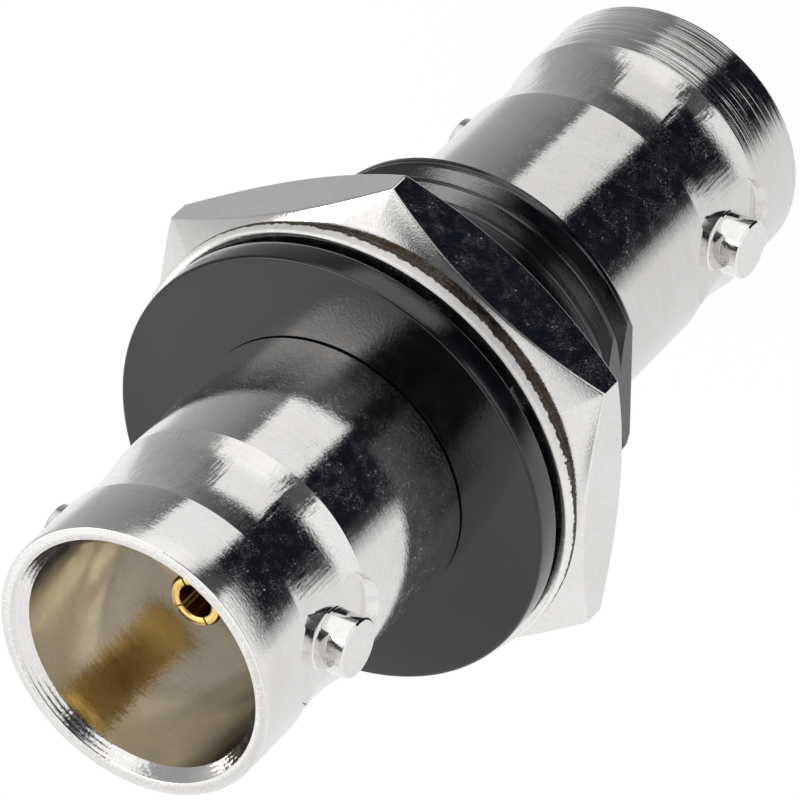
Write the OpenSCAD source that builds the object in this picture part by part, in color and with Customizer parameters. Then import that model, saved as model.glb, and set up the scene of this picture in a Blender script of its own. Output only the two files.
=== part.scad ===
// Insulated BNC bulkhead adapter, jack to jack.
// The connector axis is Z.  The rear jack's mouth ring stands on z = 0 and the
// front jack faces up.  The bayonet lugs lie along X and the flat of the
// D-shaped sleeve faces -X.  Millimetres.

/* [Jacks] */
// outside diameter of the jack barrel and mouth band
jack_d = 9.65; // [9.6:0.01:9.7]
// bore the mating plug enters
bore_d = 8.1; // [8:0.05:8.3]
// inner diameter of the flat ring at the mouth, where the lead-in cone starts
mouth_lip_d = 8.76; // [8.5:0.02:9]
// depth of the lead-in cone
lead_in = 0.4; // [0.2:0.05:0.8]
// depth of the bore, mouth to the step that carries the insulator
bore_depth = 8.4; // [8:0.1:9]
// length of the full-diameter band at the mouth
band_length = 2.54; // [2.2:0.02:2.8]
// diameter at the waist of the hollow neck behind the band
neck_d = 9.33; // [9.2:0.01:9.45]
// distance from the mouth to the shoulder where the barrel is full size again
shoulder_depth = 5.81; // [5.5:0.01:6.2]
// small bevel on the outer edge of the mouth
mouth_bevel = 0.06; // [0.02:0.01:0.15]

/* [Bayonet lugs] */
// lug pin diameter
lug_d = 2; // [1.91:0.01:2.06]
// distance across the two lug tips
lug_span = 11; // [10.97:0.01:11.07]
// distance from the mouth to the lug centre
lug_depth = 4.17; // [4:0.01:4.4]
// height of the spot face above the axis
spot_height = 4.45; // [4.3:0.01:4.5]
// diameter of the spot face
spot_d = 4.3; // [4:0.1:4.6]
// bevel on the tip of a lug
lug_bevel = 0.07; // [0.04:0.01:0.2]
// wall left between the bore and the blind hole a lug is pressed into
lug_seat_wall = 0.1; // [0.05:0.01:0.2]

/* [Insulating bushing] */
// length of the front jack from its mouth to the flange
front_length = 11.4; // [11:0.1:14]
// length of the rear jack from its mouth to the end of the sleeve
rear_length = 12.25; // [11.5:0.05:15]
// flange diameter
flange_d = 15.4; // [14.8:0.1:17]
// flange thickness
flange_t = 1; // [0.8:0.1:2]
// length of the threaded sleeve behind the flange
sleeve_length = 8.05; // [7.5:0.05:12]
// thread crest diameter
thread_d = 12.38; // [12.2:0.02:12.5]
// thread pitch
thread_pitch = 0.907; // [0.7:0.001:1]
// height of the flat of the D above the axis
flat_height = 5.7; // [5.65:0.05:6]

/* [Nut and lock washer] */
// nut width across flats
nut_af = 15.88; // [15.6:0.02:17]
// nut thickness
nut_t = 2.75; // [2.4:0.05:3.2]
// diameter of the nut's bearing faces
nut_face_d = 15; // [14.4:0.1:15.4]
// outer diameter of the lock washer
washer_d = 15.9; // [15.4:0.1:16.4]
// thickness of the lock washer's sheet
washer_t = 0.5; // [0.4:0.05:0.6]
// rolled-over edge on the flange side of the washer's rim
washer_edge = 0.1; // [0.05:0.01:0.2]
// number of twisted inner teeth
washer_teeth = 12; // [8:1:14]
// twist of a tooth in degrees
tooth_twist = 14; // [8:1:16]
// angle in degrees the tightened nut is turned to
nut_turn = 27.4; // [0:0.2:60]

/* [Contact and insulators] */
// outer diameter of the slotted socket
contact_d = 1.86; // [1.8:0.02:2]
// hole in the socket
socket_d = 1.14; // [1.1:0.02:1.3]
// depth of the socket hole
socket_depth = 5; // [4.5:0.1:6]
// distance from the mouth to the tip of the socket
contact_recess = 3.5; // [3.3:0.1:3.8]
// width of the four slots
slot_w = 0.1; // [0.08:0.01:0.16]
// angle in degrees of the first slot
slot_turn = 57.5; // [0:0.5:90]
// diameter of the contact between the two insulators
contact_core_d = 2.6; // [2.2:0.1:3]
// thickness of an insulator
bead_t = 2.8; // [2:0.1:3]

/* [Hidden] */
$fn = 96;
eps = 0.01;
total = rear_length + sleeve_length + flange_t + front_length;
r_jack = jack_d / 2;
r_bore = bore_d / 2;
r_neck = neck_d / 2;
r_lip = mouth_lip_d / 2;
r_seat = r_bore + lug_seat_wall;

// stations along the axis, counted up from the rear mouth
z_flange = total - front_length;
z_sleeve_top = z_flange - flange_t;
z_sleeve_end = rear_length;

// hollow neck: one shallow arc from the band's edge to the shoulder's edge
neck_half = (shoulder_depth - band_length) / 2;
neck_mid = (shoulder_depth + band_length) / 2;
neck_sag = r_jack - r_neck;
neck_arc_r = (neck_half * neck_half + neck_sag * neck_sag) / (2 * neck_sag);
neck_angle = asin(neck_half / neck_arc_r);
neck_steps = 8;

// inside the two bodies
lip_t = 0.5;
r_line = 3.1;
r_window = 2.6;
spigot_wall = 0.5;
r_spigot = r_line + spigot_wall;
r_stub = 4.2;
stub_gap = 0.2;
spigot_top = total - bore_depth - lip_t - bead_t;
spot_draft = 0.15;

// threads
thread_depth = 0.48;
crest_w = 0.11;
r_crest = thread_d / 2;
r_root = r_crest - thread_depth;
end_plain = 0.35;
thread_turns = floor((sleeve_length - 1.4) / thread_pitch);
flange_bevel = 0.12;

// nut and washer places
nut_bore_r = 6.35;
nut_corner_r = nut_af / 2 / cos(30);
tooth_w = 2.2;
tooth_out = 7.1;
tooth_in = 6.5;
ring_in = tooth_out - 0.15;
tooth_rise = tooth_w * sin(tooth_twist) / 2 + washer_t * cos(tooth_twist) / 2;
tooth_play = 0.02;
washer_z = z_sleeve_top - tooth_rise - tooth_play;
nut_z = washer_z - tooth_rise - tooth_play - nut_t;
chamfer_rise = (nut_corner_r - nut_face_d / 2) * tan(30);

nickel = [0.80, 0.79, 0.77];
bright_nickel = [0.86, 0.85, 0.83];
black = [0.06, 0.06, 0.07];
gold = [0.88, 0.72, 0.42];
white = [0.93, 0.92, 0.90];

// part to draw on its own, or "all"

// outer profile of a jack with its mouth at z = 0 and its barrel going up
function jack_outline(barrel_top) = concat(
    [[r_jack - mouth_bevel, 0], [r_jack, mouth_bevel]],
    [for (i = [-neck_steps : neck_steps])
        let (a = neck_angle * i / neck_steps)
        [r_neck + neck_arc_r * (1 - cos(a)), neck_mid + neck_arc_r * sin(a)]],
    [[r_jack, barrel_top]]);

// the bore side of a jack, mouth at z = 0, listed from deep inside outwards
function bore_outline() = [
    [r_window, bore_depth + lip_t], [r_window, bore_depth],
    [r_bore, bore_depth], [r_bore, lead_in], [r_lip, 0]];

// spot faces and lug holes, cut from a jack whose mouth is at z = 0
module lug_cuts() {
    for (side = [0, 180])
        rotate([0, 0, side])
            translate([0, 0, lug_depth])
                rotate([0, 90, 0]) {
                    translate([0, 0, spot_height])
                        cylinder(h = 2, r1 = spot_d / 2,
                                 r2 = spot_d / 2 + spot_draft * 2 / (r_jack - spot_height));
                    translate([0, 0, r_seat])
                        cylinder(h = spot_height + 1 - r_seat, d = lug_d);
                }
}

// a pressed-in bayonet lug, pointing along +X, mouth at z = 0
module lug() {
    translate([0, 0, lug_depth])
        rotate([0, 90, 0])
            rotate_extrude()
                polygon([[0, r_seat], [lug_d / 2, r_seat],
                         [lug_d / 2, lug_span / 2 - lug_bevel],
                         [lug_d / 2 - lug_bevel, lug_span / 2],
                         [0, lug_span / 2]]);
}

// turns something built mouth-down into the front jack, mouth up
module at_front() {
    translate([0, 0, total])
        mirror([0, 0, 1])
            children();
}

module front_body() {
    color(nickel)
        at_front()
            difference() {
                rotate_extrude()
                    polygon(concat(
                        jack_outline(front_length),
                        [[r_stub, front_length],
                         [r_stub, total - z_sleeve_end - stub_gap],
                         [r_spigot, total - z_sleeve_end - stub_gap],
                         [r_spigot, bore_depth + lip_t]],
                        bore_outline()));
                lug_cuts();
            }
}

module rear_body() {
    color(nickel)
        difference() {
            rotate_extrude()
                polygon(concat(
                    jack_outline(rear_length),
                    [[r_spigot, rear_length], [r_spigot, spigot_top],
                     [r_line, spigot_top], [r_line, bore_depth + lip_t]],
                    bore_outline()));
            lug_cuts();
        }
}

module front_lug_left() {
    color(bright_nickel)
        at_front()
            rotate([0, 0, 180])
                lug();
}

module front_lug_right() {
    color(bright_nickel)
        at_front()
            lug();
}

module rear_lug_left() {
    color(bright_nickel)
        rotate([0, 0, 180])
            lug();
}

module rear_lug_right() {
    color(bright_nickel)
        lug();
}

// one ridge of the sleeve's thread, from the root below it to the root above
function ridge(z) = let (flank = (thread_pitch - crest_w) / 2) [
    [r_root, z],
    [r_crest, z + flank],
    [r_crest, z + flank + crest_w]];

module insulating_bushing() {
    color(black) {
        // flange with its edge bevels
        translate([0, 0, z_sleeve_top])
            rotate_extrude()
                polygon([[r_stub, 0], [flange_d / 2 - flange_bevel, 0],
                         [flange_d / 2, flange_bevel],
                         [flange_d / 2, flange_t - flange_bevel],
                         [flange_d / 2 - flange_bevel, flange_t],
                         [r_stub, flange_t]]);
        // threaded sleeve with the flat of the D
        difference() {
            rotate_extrude()
                polygon(concat(
                    [[r_stub, z_sleeve_end], [r_crest - end_plain / 3, z_sleeve_end],
                     [r_crest, z_sleeve_end + end_plain / 2],
                     [r_crest, z_sleeve_end + end_plain]],
                    [for (i = [0 : thread_turns - 1])
                        each ridge(z_sleeve_end + end_plain
                                   + (thread_pitch - crest_w) / 2 + i * thread_pitch)],
                    [[r_root, z_sleeve_end + end_plain
                      + (thread_pitch - crest_w) / 2 + thread_turns * thread_pitch],
                     [r_root, z_sleeve_top], [r_stub, z_sleeve_top]]));
            translate([-flat_height - 2, -10, z_sleeve_end - 1])
                cube([2, 20, sleeve_length + 1]);
        }
    }
}

// flat spring ring whose inner teeth are each twisted out of its plane
module lock_washer() {
    color(bright_nickel)
        translate([0, 0, washer_z]) {
            rotate_extrude()
                polygon([[ring_in, -washer_t / 2], [washer_d / 2, -washer_t / 2],
                         [washer_d / 2, washer_t / 2 - 2 * washer_edge],
                         [washer_d / 2 - washer_edge / 2, washer_t / 2 - washer_edge / 2],
                         [washer_d / 2 - 2 * washer_edge, washer_t / 2],
                         [ring_in, washer_t / 2]]);
            for (i = [0 : washer_teeth - 1])
                rotate([0, 0, i * 360 / washer_teeth])
                    translate([tooth_in, 0, 0])
                        rotate([tooth_twist, 0, 0])
                            translate([0, -tooth_w / 2, -washer_t / 2])
                                cube([tooth_out - tooth_in, tooth_w, washer_t]);
        }
}

module hex_nut() {
    color(nickel)
        translate([0, 0, nut_z])
            difference() {
                intersection() {
                    rotate([0, 0, nut_turn])
                        cylinder(h = nut_t, r = nut_corner_r, $fn = 6);
                    rotate_extrude()
                        polygon([[0, 0], [nut_face_d / 2, 0],
                                 [nut_corner_r, chamfer_rise],
                                 [nut_corner_r, nut_t - chamfer_rise],
                                 [nut_face_d / 2, nut_t], [0, nut_t]]);
                }
                translate([0, 0, -eps])
                    cylinder(h = nut_t + 2 * eps, r = nut_bore_r);
            }
}

// socket end of the contact, tip at z = contact_recess, going up to z = top
module socket_cuts() {
    translate([0, 0, contact_recess - eps])
        cylinder(h = socket_depth, d = socket_d);
    for (turn = [0, 90])
        rotate([0, 0, slot_turn + turn])
            translate([-contact_d, -slot_w / 2, contact_recess - eps])
                cube([2 * contact_d, slot_w, socket_depth - 0.5]);
}

module centre_contact() {
    bead_in = bore_depth + lip_t + bead_t;
    tip = 0.12;
    color(gold)
        difference() {
            rotate_extrude()
                polygon([[0, contact_recess],
                         [contact_d / 2 - tip, contact_recess],
                         [contact_d / 2, contact_recess + tip],
                         [contact_d / 2, bead_in],
                         [contact_core_d / 2, bead_in],
                         [contact_core_d / 2, total - bead_in],
                         [contact_d / 2, total - bead_in],
                         [contact_d / 2, total - contact_recess - tip],
                         [contact_d / 2 - tip, total - contact_recess],
                         [0, total - contact_recess]]);
            socket_cuts();
            at_front()
                socket_cuts();
        }
}

// an insulator ring with its outer face at z, growing up
module bead(z, r_out) {
    color(white)
        translate([0, 0, z])
            difference() {
                cylinder(h = bead_t, r = r_out);
                translate([0, 0, -eps])
                    cylinder(h = bead_t + 2 * eps, d = contact_d);
            }
}

module front_insulator() {
    bead(spigot_top, r_spigot);
}

module rear_insulator() {
    bead(bore_depth + lip_t, r_line);
}

front_body();
rear_body();
front_lug_left();
front_lug_right();
rear_lug_left();
rear_lug_right();
insulating_bushing();
lock_washer();
hex_nut();
centre_contact();
front_insulator();
rear_insulator();
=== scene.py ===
"""Looks of an insulated bulkhead coaxial adapter with a bayonet jack at each end.

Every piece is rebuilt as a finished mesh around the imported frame, in metres,
with the connector's axis on Z and the front jack facing up.  Sizes in the
classes are millimetres.
"""

import logging
import math
from dataclasses import dataclass, field
from enum import Enum
from typing import Iterable, Optional

import bmesh
import bpy
from mathutils import Matrix, Vector


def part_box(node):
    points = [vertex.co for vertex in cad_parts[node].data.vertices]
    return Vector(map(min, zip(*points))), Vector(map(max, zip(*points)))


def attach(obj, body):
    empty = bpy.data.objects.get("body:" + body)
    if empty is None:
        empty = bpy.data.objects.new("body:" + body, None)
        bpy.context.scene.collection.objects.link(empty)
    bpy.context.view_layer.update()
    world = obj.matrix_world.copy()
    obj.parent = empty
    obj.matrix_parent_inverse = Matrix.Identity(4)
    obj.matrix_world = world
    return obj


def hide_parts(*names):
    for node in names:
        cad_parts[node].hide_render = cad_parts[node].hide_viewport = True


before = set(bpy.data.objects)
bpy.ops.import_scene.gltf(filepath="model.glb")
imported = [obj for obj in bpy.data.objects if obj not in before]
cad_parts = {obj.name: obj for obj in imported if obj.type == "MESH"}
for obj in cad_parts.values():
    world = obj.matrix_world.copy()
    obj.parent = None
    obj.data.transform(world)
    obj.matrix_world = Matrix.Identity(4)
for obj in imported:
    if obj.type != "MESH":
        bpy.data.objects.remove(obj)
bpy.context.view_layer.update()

LOG = logging.getLogger("adapter")
MM = 0.001
FINE_TURN = 256
MIDDLE_TURN = 192
SMALL_TURN = 96
SMOOTH_ANGLE = math.radians(33.0)

Colour = tuple[float, float, float]


class Body(Enum):
    """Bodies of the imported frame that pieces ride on."""

    CONNECTOR = "connector"
    WASHER = "washer"
    NUT = "nut"


class Slot(Enum):
    """Material slots of the record."""

    NICKEL = "nickel_plate"
    BLACK = "black_plastic"
    GOLD = "gold_plate"
    WHITE = "white_insulator"


class End(Enum):
    """The two ends of the adapter."""

    FRONT = "front"
    REAR = "rear"


class Side(Enum):
    """The side of the axis that a bayonet lug points to."""

    LEFT = "left"
    RIGHT = "right"


# --------------------------------------------------------------------------
# Outlines and meshes
# --------------------------------------------------------------------------


@dataclass
class Outline:
    """Closed outline of a turned piece, as radius and height in millimetres.

    Corners are added in order, so that the solid lies to the left of the
    path when radius runs right and height runs up.
    """

    points: list[tuple[float, float, float]] = field(default_factory=list)
    arc_steps: int = 4

    def corner(self, radius: float, height: float, rounding: float = 0.0) -> "Outline":
        """Add one corner.

        Args:
            radius: distance from the axis.
            height: place along the axis.
            rounding: radius of the small arc that softens the corner.

        Returns:
            The outline, so that corners can be chained.
        """
        self.points.append((radius, height, rounding))
        return self

    def run(self, stations: Iterable[tuple[float, float]]) -> "Outline":
        """Add a run of plain points, such as the steps of a curve.

        Args:
            stations: radius and height of each point.

        Returns:
            The outline.
        """
        for radius, height in stations:
            self.corner(radius, height)
        return self

    def mirrored(self, total: float) -> "Outline":
        """Return the outline turned end for end.

        Args:
            total: height that maps to zero.

        Returns:
            A new outline with its direction kept.
        """
        turned = [(r, total - z, c) for r, z, c in reversed(self.points)]
        return Outline(turned, self.arc_steps)

    def stations(self) -> list[tuple[float, float]]:
        """Return the outline's points with every softened corner as an arc.

        Returns:
            Radius and height of each point.
        """
        result: list[tuple[float, float]] = []
        count = len(self.points)
        for index, (radius, height, rounding) in enumerate(self.points):
            here = Vector((radius, height))
            if rounding <= 0.0:
                result.append((radius, height))
                continue
            before = Vector(self.points[index - 1][:2]) - here
            after = Vector(self.points[(index + 1) % count][:2]) - here
            half = before.angle(after) / 2.0
            reach = min(rounding / math.tan(half), 0.45 * before.length, 0.45 * after.length)
            arc_radius = reach * math.tan(half)
            start, end = before.normalized(), after.normalized()
            centre = here + (start + end).normalized() * (arc_radius / math.sin(half))
            first = here + start * reach - centre
            turn = first.angle_signed(here + end * reach - centre)
            for step in range(self.arc_steps + 1):
                spoke = Matrix.Rotation(-turn * step / self.arc_steps, 2) @ first
                result.append(tuple(centre + spoke))
        return result


def link_object(name: str, mesh: bpy.types.Mesh) -> bpy.types.Object:
    """Put a mesh into the scene as an object at the origin.

    Args:
        name: name of the object.
        mesh: its mesh, already in place and in metres.

    Returns:
        The new object.
    """
    mesh.name = name
    piece = bpy.data.objects.new(name, mesh)
    bpy.context.scene.collection.objects.link(piece)
    return piece


def revolve(name: str, outline: Outline, segments: int, along_x: bool = False) -> bpy.types.Object:
    """Turn an outline about the Z axis, or about X, into a closed mesh.

    Args:
        name: name of the object.
        outline: outline in millimetres; points with no radius lie on the axis.
        segments: number of segments round the axis.
        along_x: whether the height runs along X and not along Z.

    Returns:
        The new object, with outward faces.
    """
    stations = outline.stations()
    mesh = bmesh.new()
    rings: list[list[bmesh.types.BMVert]] = []
    for radius, height in stations:
        ring = []
        for step in range(segments if radius > 1e-6 else 1):
            angle = 2.0 * math.pi * step / segments
            across, up, along = radius * math.cos(angle), radius * math.sin(angle), height
            place = (along, across, up) if along_x else (across, up, along)
            ring.append(mesh.verts.new([value * MM for value in place]))
        rings.append(ring)
    for index, ring in enumerate(rings):
        other = rings[(index + 1) % len(rings)]
        if len(ring) == 1 and len(other) == 1:
            continue
        for step in range(segments):
            after = (step + 1) % segments
            loop = [ring[step % len(ring)], ring[after % len(ring)],
                    other[after % len(other)], other[step % len(other)]]
            corners = list(dict.fromkeys(loop))
            if len(corners) > 2:
                mesh.faces.new(corners)
    return close_up(name, mesh)


def close_up(name: str, mesh: bmesh.types.BMesh) -> bpy.types.Object:
    """Merge doubles, point the faces outwards and make the object.

    Args:
        name: name of the object.
        mesh: mesh to finish; it is freed.

    Returns:
        The new object.
    """
    bmesh.ops.remove_doubles(mesh, verts=mesh.verts, dist=1e-8)
    bmesh.ops.recalc_face_normals(mesh, faces=mesh.faces)
    data = bpy.data.meshes.new(name)
    mesh.to_mesh(data)
    mesh.free()
    return link_object(name, data)


def box_object(name: str, low: Vector, high: Vector) -> bpy.types.Object:
    """Make a cutting block between two corners.

    Args:
        name: name of the object.
        low: lowest corner in millimetres.
        high: highest corner in millimetres.

    Returns:
        The new object.
    """
    mesh = bmesh.new()
    bmesh.ops.create_cube(mesh, size=1.0)
    size, middle = Vector(high) - Vector(low), (Vector(high) + Vector(low)) / 2.0
    place = Matrix.Translation(middle * MM) @ Matrix.Diagonal((*(size * MM), 1.0))
    bmesh.ops.transform(mesh, matrix=place, verts=mesh.verts)
    return close_up(name, mesh)


def turned_by(piece: bpy.types.Object, degrees: float) -> bpy.types.Object:
    """Turn a mesh about the Z axis, in its own vertices.

    Args:
        piece: object whose mesh is turned.
        degrees: angle of the turn.

    Returns:
        The same object.
    """
    piece.data.transform(Matrix.Rotation(math.radians(degrees), 4, "Z"))
    return piece


def settle(piece: bpy.types.Object) -> bpy.types.Object:
    """Turn a piece's live modifiers into its plain mesh.

    Args:
        piece: object to settle.

    Returns:
        The same object, with no modifier left.
    """
    bpy.context.view_layer.update()
    seen = piece.evaluated_get(bpy.context.evaluated_depsgraph_get())
    mesh = bpy.data.meshes.new_from_object(seen)
    old = piece.data
    piece.modifiers.clear()
    piece.data = mesh
    mesh.name = piece.name
    bpy.data.meshes.remove(old)
    return piece


class Cut(Enum):
    """Ways to combine two solids."""

    AWAY = "DIFFERENCE"
    JOIN = "UNION"
    KEEP = "INTERSECT"


def combine(piece: bpy.types.Object, other: bpy.types.Object, way: Cut) -> bpy.types.Object:
    """Combine a solid with another one, which is used up.

    Args:
        piece: solid that is changed.
        other: solid that cuts it or joins it.
        way: how the two are combined.

    Returns:
        The changed piece.
    """
    modifier = piece.modifiers.new("combine", "BOOLEAN")
    modifier.operation = way.value
    modifier.solver = "EXACT"
    modifier.object = other
    settle(piece)
    bpy.data.objects.remove(other)
    return piece


def smooth(piece: bpy.types.Object, angle: float = SMOOTH_ANGLE) -> bpy.types.Object:
    """Shade a mesh smooth, with crisp edges past an angle and true large faces.

    Args:
        piece: object to shade.
        angle: edges that turn further stay crisp.

    Returns:
        The same object.
    """
    mesh = piece.data
    mesh.polygons.foreach_set("use_smooth", [True] * len(mesh.polygons))
    mesh.set_sharp_from_angle(angle=angle)
    modifier = piece.modifiers.new("weighted", "WEIGHTED_NORMAL")
    modifier.mode = "FACE_AREA"
    modifier.weight = 90
    modifier.keep_sharp = True
    return settle(piece)


def soften(piece: bpy.types.Object, width: float, angle: float, steps: int = 3) -> bpy.types.Object:
    """Round a mesh's sharp edges a little.

    Args:
        piece: object to soften.
        width: width of the rounding in millimetres.
        angle: only edges sharper than this many degrees are rounded.
        steps: number of steps in the rounding.

    Returns:
        The same object.
    """
    modifier = piece.modifiers.new("soften", "BEVEL")
    modifier.width = width * MM
    modifier.segments = steps
    modifier.limit_method = "ANGLE"
    modifier.angle_limit = math.radians(angle)
    return settle(piece)


# --------------------------------------------------------------------------
# Node trees
# --------------------------------------------------------------------------


class Graph:
    """Small helper that adds and joins nodes of one node tree."""

    def __init__(self, tree: bpy.types.NodeTree, clear: bool = True) -> None:
        """Keep the tree.

        Args:
            tree: node tree to work on.
            clear: whether the tree's present nodes are removed first.
        """
        self.tree = tree
        if clear:
            tree.nodes.clear()

    def node(self, kind: str, **settings: object) -> bpy.types.Node:
        """Add a node and set its properties.

        Args:
            kind: the node's type name.
            **settings: properties of the node.

        Returns:
            The new node.
        """
        made = self.tree.nodes.new(kind)
        for name, value in settings.items():
            setattr(made, name, value)
        return made

    def feed(self, socket: bpy.types.NodeSocket, value: object) -> None:
        """Join a socket to another socket, or set it to a constant.

        Args:
            socket: input socket.
            value: output socket or constant.
        """
        if isinstance(value, bpy.types.NodeSocket):
            self.tree.links.new(value, socket)
        else:
            socket.default_value = value

    def math(self, operation: str, first: object, second: object = 0.0,
             third: object = 0.0, clamp: bool = False) -> bpy.types.NodeSocket:
        """Add a math node.

        Args:
            operation: name of the operation.
            first: first value or socket.
            second: second value or socket.
            third: third value or socket.
            clamp: whether the result is held between 0 and 1.

        Returns:
            The result socket.
        """
        made = self.node("ShaderNodeMath", operation=operation, use_clamp=clamp)
        for socket, value in zip(made.inputs, (first, second, third)):
            self.feed(socket, value)
        return made.outputs[0]

    def vector(self, operation: str, first: object, second: object = (0.0, 0.0, 0.0),
               scale: object = 1.0) -> bpy.types.NodeSocket:
        """Add a vector math node.

        Args:
            operation: name of the operation.
            first: first vector or socket.
            second: second vector or socket.
            scale: factor of the SCALE operation.

        Returns:
            The vector socket.
        """
        made = self.node("ShaderNodeVectorMath", operation=operation)
        self.feed(made.inputs[0], first)
        self.feed(made.inputs[1], second)
        self.feed(made.inputs[3], scale)
        return made.outputs[0]

    def remap(self, value: object, low: float, high: float, to_low: float = 0.0,
              to_high: float = 1.0, smoothly: bool = True) -> bpy.types.NodeSocket:
        """Map a range of values onto another one, held at its ends.

        Args:
            value: value or socket to map.
            low: start of the range.
            high: end of the range.
            to_low: result at the start.
            to_high: result at the end.
            smoothly: whether the ends ease in and out.

        Returns:
            The result socket.
        """
        made = self.node("ShaderNodeMapRange",
                         interpolation_type="SMOOTHSTEP" if smoothly else "LINEAR")
        for socket, number in zip(made.inputs, (value, low, high, to_low, to_high)):
            self.feed(socket, number)
        return made.outputs[0]

    def combine(self, x: object, y: object, z: object) -> bpy.types.NodeSocket:
        """Join three numbers into a vector.

        Args:
            x: first number or socket.
            y: second number or socket.
            z: third number or socket.

        Returns:
            The vector socket.
        """
        made = self.node("ShaderNodeCombineXYZ")
        for socket, value in zip(made.inputs, (x, y, z)):
            self.feed(socket, value)
        return made.outputs[0]

    def noise(self, place: object, scale: float, detail: float = 2.0,
              roughness: float = 0.5) -> bpy.types.NodeSocket:
        """Add a noise texture.

        Args:
            place: coordinates.
            scale: noise scale.
            detail: number of octaves.
            roughness: weight of the finer octaves.

        Returns:
            The noise value between 0 and 1.
        """
        made = self.node("ShaderNodeTexNoise")
        self.feed(made.inputs["Vector"], place)
        made.inputs["Scale"].default_value = scale
        made.inputs["Detail"].default_value = detail
        made.inputs["Roughness"].default_value = roughness
        return made.outputs["Fac"]

    def blend(self, amount: object, first: object, second: object) -> bpy.types.NodeSocket:
        """Mix two colours.

        Args:
            amount: share of the second colour.
            first: first colour or socket.
            second: second colour or socket.

        Returns:
            The colour socket.
        """
        made = self.node("ShaderNodeMix", data_type="RGBA")
        self.feed(made.inputs["Factor"], amount)
        self.feed(made.inputs["A"], first)
        self.feed(made.inputs["B"], second)
        return made.outputs["Result"]

    def bump(self, height: object, distance: float,
             normal: Optional[bpy.types.NodeSocket] = None) -> bpy.types.NodeSocket:
        """Add a bump node.

        Args:
            height: height between 0 and 1.
            distance: relief in metres at a height of 1.
            normal: normal that the bump starts from.

        Returns:
            The bumped normal.
        """
        made = self.node("ShaderNodeBump")
        made.inputs["Distance"].default_value = distance
        self.feed(made.inputs["Height"], height)
        if normal is not None:
            self.feed(made.inputs["Normal"], normal)
        return made.outputs["Normal"]


@dataclass(frozen=True)
class Finish:
    """What every surface finish shares: its name and its colour.

    Densities in the finishes are features per millimetre, and reliefs are
    millimetres.
    """

    name: str
    colour: Colour

    def start(self) -> tuple[bpy.types.Material, Graph, bpy.types.Node]:
        """Make the material with an empty shader.

        Returns:
            The material, its graph and its shader node.
        """
        material = bpy.data.materials.new(self.name)
        material.use_nodes = True
        graph = Graph(material.node_tree)
        shader = graph.node("ShaderNodeBsdfPrincipled")
        output = graph.node("ShaderNodeOutputMaterial")
        graph.feed(output.inputs["Surface"], shader.outputs[0])
        return material, graph, shader

    def shade(self, *shares: float) -> tuple[float, ...]:
        """Scale the finish's colour.

        Args:
            *shares: factor of red, green and blue, or nothing for the plain colour.

        Returns:
            Red, green, blue and full alpha.
        """
        scaled = [value * share for value, share in zip(self.colour, shares or (1.0,) * 3)]
        return (*scaled, 1.0)


@dataclass(frozen=True)
class Surface:
    """Sockets that every nickel finish starts from."""

    place: bpy.types.NodeSocket
    normal: bpy.types.NodeSocket
    x: bpy.types.NodeSocket
    y: bpy.types.NodeSocket
    z: bpy.types.NodeSocket
    radius: bpy.types.NodeSocket

    @classmethod
    def of(cls, graph: Graph) -> "Surface":
        """Add the nodes that read the surface.

        Args:
            graph: graph to add nodes to.

        Returns:
            The sockets.
        """
        place = graph.node("ShaderNodeTexCoord").outputs["Object"]
        parts = graph.node("ShaderNodeSeparateXYZ")
        graph.feed(parts.inputs[0], place)
        x, y, z = parts.outputs
        squares = graph.math("ADD", graph.math("MULTIPLY", x, x), graph.math("MULTIPLY", y, y))
        normal = graph.node("ShaderNodeNewGeometry").outputs["Normal"]
        return cls(place, normal, x, y, z, graph.math("SQRT", squares))

    def stretched(self, graph: Graph, around: float, along: float) -> bpy.types.NodeSocket:
        """Coordinates with their own scale round the axis and along it.

        Args:
            graph: graph to add nodes to.
            around: features per millimetre round the axis.
            along: features per millimetre along the profile.

        Returns:
            The coordinates.
        """
        path = graph.math("MULTIPLY", graph.math("ADD", self.z, self.radius), along / MM)
        return graph.combine(graph.math("MULTIPLY", self.x, around / MM),
                             graph.math("MULTIPLY", self.y, around / MM), path)


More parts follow.
